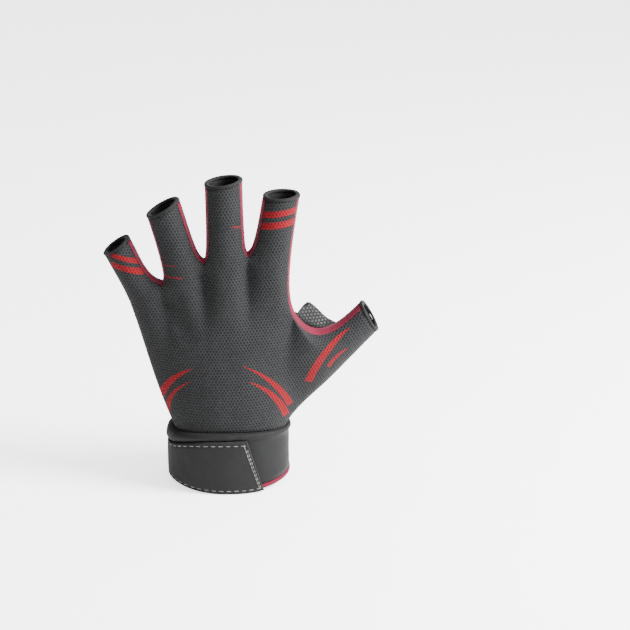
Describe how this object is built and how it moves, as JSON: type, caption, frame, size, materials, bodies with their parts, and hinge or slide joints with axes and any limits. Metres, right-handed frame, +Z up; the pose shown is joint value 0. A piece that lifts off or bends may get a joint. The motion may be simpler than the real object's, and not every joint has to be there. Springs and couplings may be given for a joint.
{
  "type": "fitness glove",
  "caption": "Fingerless left-hand fitness glove in its worn shape, with side gussets, stitched palm pads, a rolled cuff, a closed wrist strap and a pull loop.",
  "frame": {"origin": "middle of the wrist opening, level with the lowest point of the cuff's rim", "axes": "+Z up along the hand to the middle finger, +Y out of the palm, +X towards the thumb"},
  "size_m": [0.159, 0.0567, 0.1838],
  "materials": {
    "back_cloth": "matte charcoal mesh knit with crimson printed stripes",
    "palm_leather": "synthetic leather with an embossed hexagon pattern",
    "crimson_cloth": "matte crimson stretch cloth",
    "pad_leather": "smooth padded synthetic leather with pale stitching",
    "cuff_cloth": "smooth matte neoprene with pale stitching",
    "hem_tape": "dark matte tape"
  },
  "bodies": {
    "root": {"back_panel": "back_cloth", "palm_panel": "palm_leather", "gusset_little_ring": "crimson_cloth", "gusset_ring_middle": "crimson_cloth", "gusset_middle_index": "crimson_cloth", "gusset_index_thumb": "crimson_cloth", "hem_little": "hem_tape", "hem_ring": "hem_tape", "hem_middle": "hem_tape", "hem_index": "hem_tape", "hem_thumb": "hem_tape", "knuckle_pad": "pad_leather", "thumb_pad": "pad_leather", "heel_pad": "pad_leather", "wrist_band": "cuff_cloth", "wrist_binding": "crimson_cloth", "closure_strap": "cuff_cloth", "pull_loop": "hem_tape"}
  },
  "joints": []
}
